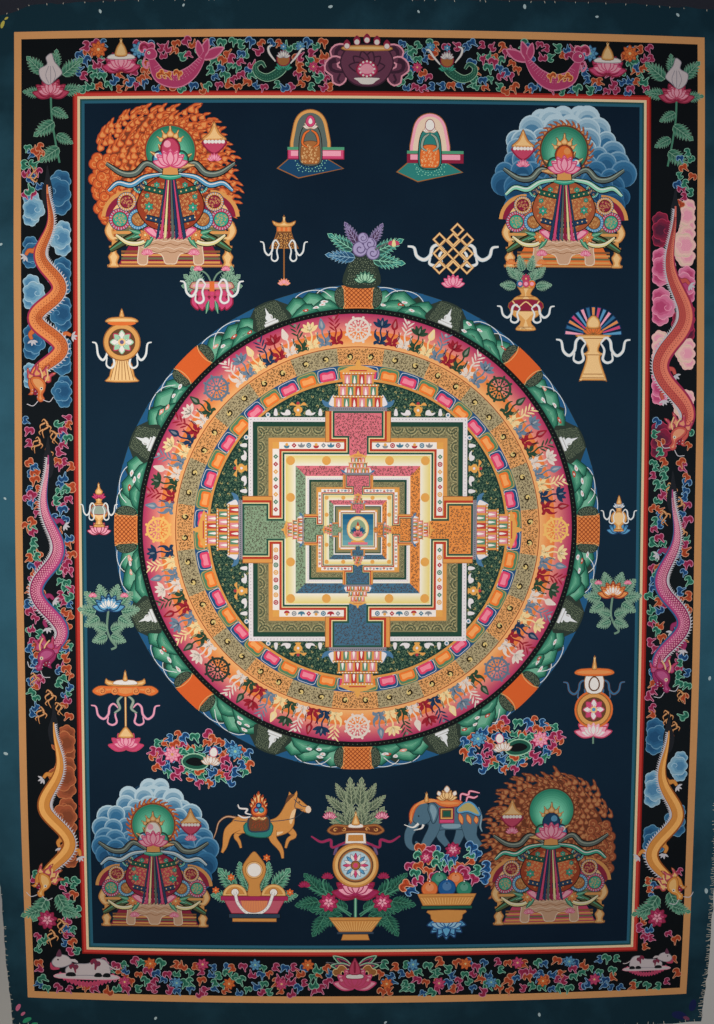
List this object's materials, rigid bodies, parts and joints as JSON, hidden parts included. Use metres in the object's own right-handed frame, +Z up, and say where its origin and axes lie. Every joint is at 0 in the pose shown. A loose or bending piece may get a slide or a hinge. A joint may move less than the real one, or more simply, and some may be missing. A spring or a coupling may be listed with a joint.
{
  "type": "thangka scroll painting, an unmounted painted cotton canvas that hangs by its top edge",
  "caption": "Unmounted painted canvas wall hanging: one thin cloth sheet with cut edges and corners that roll back, hung by its top edge.",
  "frame": {"origin": "middle of the cloth's top edge, half way through its thickness, where it is hung", "axes": "+Z up along the cloth's height, +X to the right as the painted side is looked at, -Y out of the painted side"},
  "size_m": [0.7512, 0.0472, 1.0666],
  "materials": {
    "painted_canvas": "matt mineral pigment on glue-sized cotton"
  },
  "bodies": {
    "root": {"canvas": "painted_canvas"}
  },
  "joints": []
}
